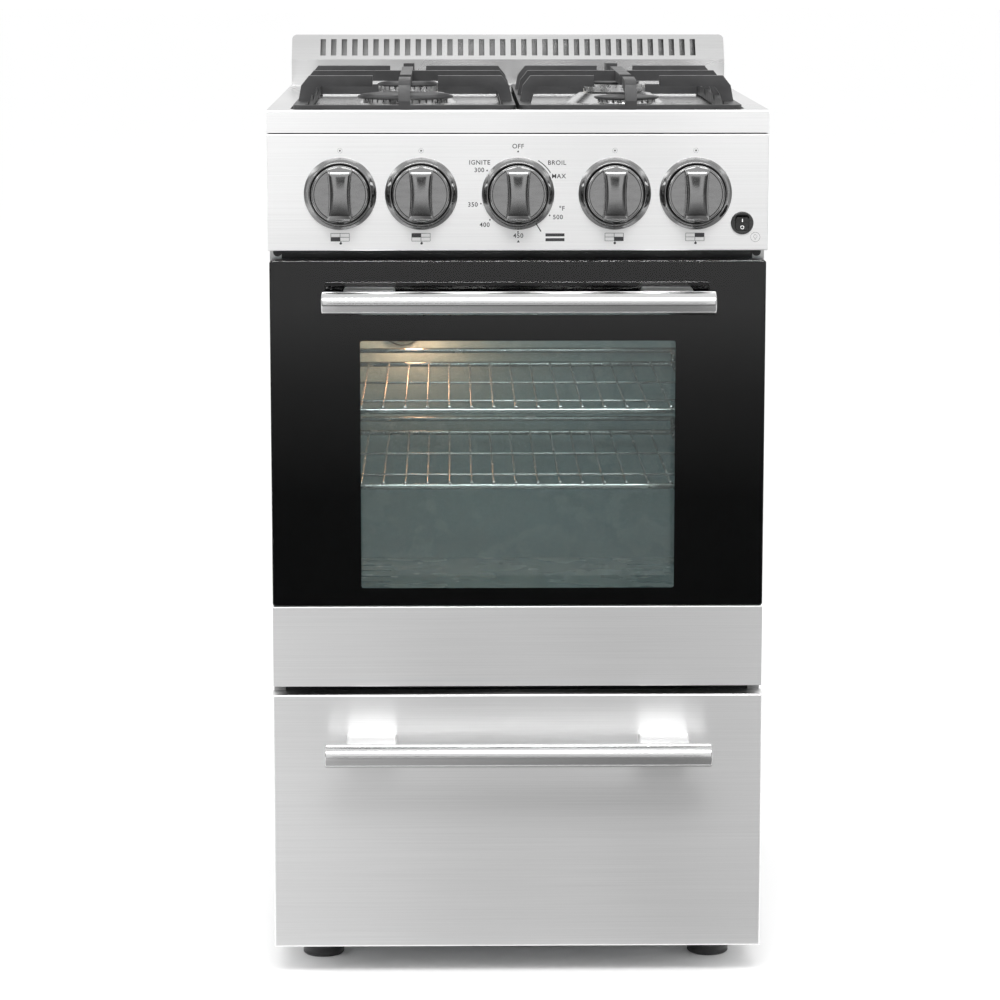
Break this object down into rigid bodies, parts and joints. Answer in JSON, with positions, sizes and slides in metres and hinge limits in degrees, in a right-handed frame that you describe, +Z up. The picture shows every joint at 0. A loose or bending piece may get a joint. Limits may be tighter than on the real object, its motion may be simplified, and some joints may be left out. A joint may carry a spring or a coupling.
{
  "type": "freestanding gas range",
  "caption": "Freestanding gas range with cast grates over burners, a glass-fronted drop-down oven door, a lower drawer, front knobs and a vented backguard.",
  "frame": {"origin": "middle of the footprint, on the floor under the feet, at rest", "axes": "+X to the right of a person facing the range, +Y to the back, +Z up; the door and the knobs face -Y"},
  "size_m": [0.508, 0.704, 0.961],
  "materials": {
    "stainless": "satin",
    "handle_steel": "satin",
    "galvanised": "satin",
    "oven_enamel": "gloss",
    "black_enamel": "gloss",
    "black_paint": "satin",
    "door_glass": "polished",
    "clear_glass": "polished",
    "chrome": "polished",
    "satin_chrome": "satin",
    "rack_wire": "satin",
    "cast_iron": "satin",
    "aluminium": "satin",
    "tube_aluminium": "satin",
    "burner_casting": "matte",
    "brass": "satin",
    "pipe_steel": "satin",
    "glass_wool": "matte",
    "gasket_fibre": "matte",
    "black_rubber": "matte",
    "black_plastic": "matte",
    "foot_plastic": "satin",
    "white_ceramic": "gloss"
  },
  "bodies": {
    "cabinet": {"side_panel_left": "stainless", "side_panel_right": "stainless", "rear_panel": "galvanised", "base_frame": "galvanised", "front_frame": "black_enamel", "frame_plugs": "black_rubber", "hinge_receivers": "galvanised", "drawer_rails": "galvanised", "oven_liner": "oven_enamel", "oven_insulation": "glass_wool", "oven_floor": "oven_enamel", "oven_burner": "pipe_steel", "flue_duct": "galvanised", "rack_guides": "rack_wire", "oven_lamp_bulb": "clear_glass", "oven_lamp_cover": "clear_glass", "door_gasket": "gasket_fibre", "control_panel": "stainless", "knob_bezels": "chrome", "gas_valves": "brass", "gas_pipework": "tube_aluminium", "switch_housing": "black_plastic", "cooktop": "stainless", "burner_cups": "burner_casting", "burner_heads": "aluminium", "burner_caps": "black_enamel", "burner_igniters": "white_ceramic", "backguard": "stainless"},
    "oven_door": {"door_glass_outer": "door_glass", "door_trim": "stainless", "door_frame": "black_paint", "door_inner_panel": "oven_enamel", "door_glass_inner": "clear_glass", "door_handle_bar": "handle_steel", "door_handle_posts": "handle_steel"},
    "drawer": {"drawer_front": "stainless", "drawer_box": "galvanised", "drawer_handle_bar": "handle_steel", "drawer_handle_posts": "handle_steel", "broiler_pan": "black_enamel", "broiler_grid": "black_enamel"},
    "grate_left": {"grate_left": "cast_iron"},
    "grate_right": {"grate_right": "cast_iron"},
    "rack_upper": {"rack_upper": "rack_wire"},
    "rack_lower": {"rack_lower": "rack_wire"},
    "light_rocker": {"switch_rocker": "black_plastic"},
    "leg_front_left": {"leg_front_left": "foot_plastic"},
    "leg_front_right": {"leg_front_right": "foot_plastic"},
    "leg_rear_left": {"leg_rear_left": "foot_plastic"},
    "leg_rear_right": {"leg_rear_right": "foot_plastic"},
    "valve_stem_1": {"valve_stem_1": "brass"},
    "knob_1": {"knob_1": "satin_chrome"},
    "valve_stem_2": {"valve_stem_2": "brass"},
    "knob_2": {"knob_2": "satin_chrome"},
    "valve_stem_3": {"valve_stem_3": "brass"},
    "knob_3": {"knob_3": "satin_chrome"},
    "valve_stem_4": {"valve_stem_4": "brass"},
    "knob_4": {"knob_4": "satin_chrome"},
    "valve_stem_5": {"valve_stem_5": "brass"},
    "knob_5": {"knob_5": "satin_chrome"}
  },
  "joints": [
    {"name": "door_hinge", "type": "hinge", "parent": "cabinet", "child": "oven_door", "pos_m": [0, -0.272, 0.325], "axis": [1, 0, 0], "range_deg": [0, 90], "stiffness_Nm_per_rad": 4, "springref_deg": -51.57},
    {"name": "drawer_slide", "type": "slide", "parent": "cabinet", "child": "drawer", "axis": [0, -1, 0], "range_m": [0, 0.42]},
    {"name": "grate_left_lift", "type": "slide", "parent": "cabinet", "child": "grate_left", "axis": [0, 0, 1], "range_m": [0, 0.15]},
    {"name": "grate_right_lift", "type": "slide", "parent": "cabinet", "child": "grate_right", "axis": [0, 0, 1], "range_m": [0, 0.15]},
    {"name": "rack_upper_slide", "type": "slide", "parent": "cabinet", "child": "rack_upper", "axis": [0, -1, 0], "range_m": [0, 0.04]},
    {"name": "rack_lower_slide", "type": "slide", "parent": "cabinet", "child": "rack_lower", "axis": [0, -1, 0], "range_m": [0, 0.04]},
    {"name": "tap_1_turn", "type": "hinge", "parent": "cabinet", "child": "valve_stem_1", "pos_m": [-0.18, -0.288, 0.82], "axis": [0, -1, 0], "range_deg": [0, 270]},
    {"name": "knob_1_push", "type": "slide", "parent": "valve_stem_1", "child": "knob_1", "axis": [0, 1, 0], "range_m": [0, 0.003], "stiffness_N_per_m": 1500},
    {"name": "tap_2_turn", "type": "hinge", "parent": "cabinet", "child": "valve_stem_2", "pos_m": [-0.098, -0.288, 0.82], "axis": [0, -1, 0], "range_deg": [0, 270]},
    {"name": "knob_2_push", "type": "slide", "parent": "valve_stem_2", "child": "knob_2", "axis": [0, 1, 0], "range_m": [0, 0.003], "stiffness_N_per_m": 1500},
    {"name": "tap_3_turn", "type": "hinge", "parent": "cabinet", "child": "valve_stem_3", "pos_m": [0, -0.288, 0.82], "axis": [0, -1, 0], "range_deg": [0, 310]},
    {"name": "knob_3_push", "type": "slide", "parent": "valve_stem_3", "child": "knob_3", "axis": [0, 1, 0], "range_m": [0, 0.003], "stiffness_N_per_m": 1500},
    {"name": "tap_4_turn", "type": "hinge", "parent": "cabinet", "child": "valve_stem_4", "pos_m": [0.098, -0.288, 0.82], "axis": [0, -1, 0], "range_deg": [0, 270]},
    {"name": "knob_4_push", "type": "slide", "parent": "valve_stem_4", "child": "knob_4", "axis": [0, 1, 0], "range_m": [0, 0.003], "stiffness_N_per_m": 1500},
    {"name": "tap_5_turn", "type": "hinge", "parent": "cabinet", "child": "valve_stem_5", "pos_m": [0.18, -0.288, 0.82], "axis": [0, -1, 0], "range_deg": [0, 270]},
    {"name": "knob_5_push", "type": "slide", "parent": "valve_stem_5", "child": "knob_5", "axis": [0, 1, 0], "range_m": [0, 0.003], "stiffness_N_per_m": 1500},
    {"name": "light_switch", "type": "hinge", "parent": "cabinet", "child": "light_rocker", "pos_m": [0.2274, -0.286, 0.79], "axis": [-1, 0, 0], "range_deg": [0, 16]},
    {"name": "leg_front_left_screw", "type": "slide", "parent": "cabinet", "child": "leg_front_left", "axis": [0, 0, -1], "range_m": [0, 0.025]},
    {"name": "leg_front_right_screw", "type": "slide", "parent": "cabinet", "child": "leg_front_right", "axis": [0, 0, -1], "range_m": [0, 0.025]},
    {"name": "leg_rear_left_screw", "type": "slide", "parent": "cabinet", "child": "leg_rear_left", "axis": [0, 0, -1], "range_m": [0, 0.025]},
    {"name": "leg_rear_right_screw", "type": "slide", "parent": "cabinet", "child": "leg_rear_right", "axis": [0, 0, -1], "range_m": [0, 0.025]}
  ]
}
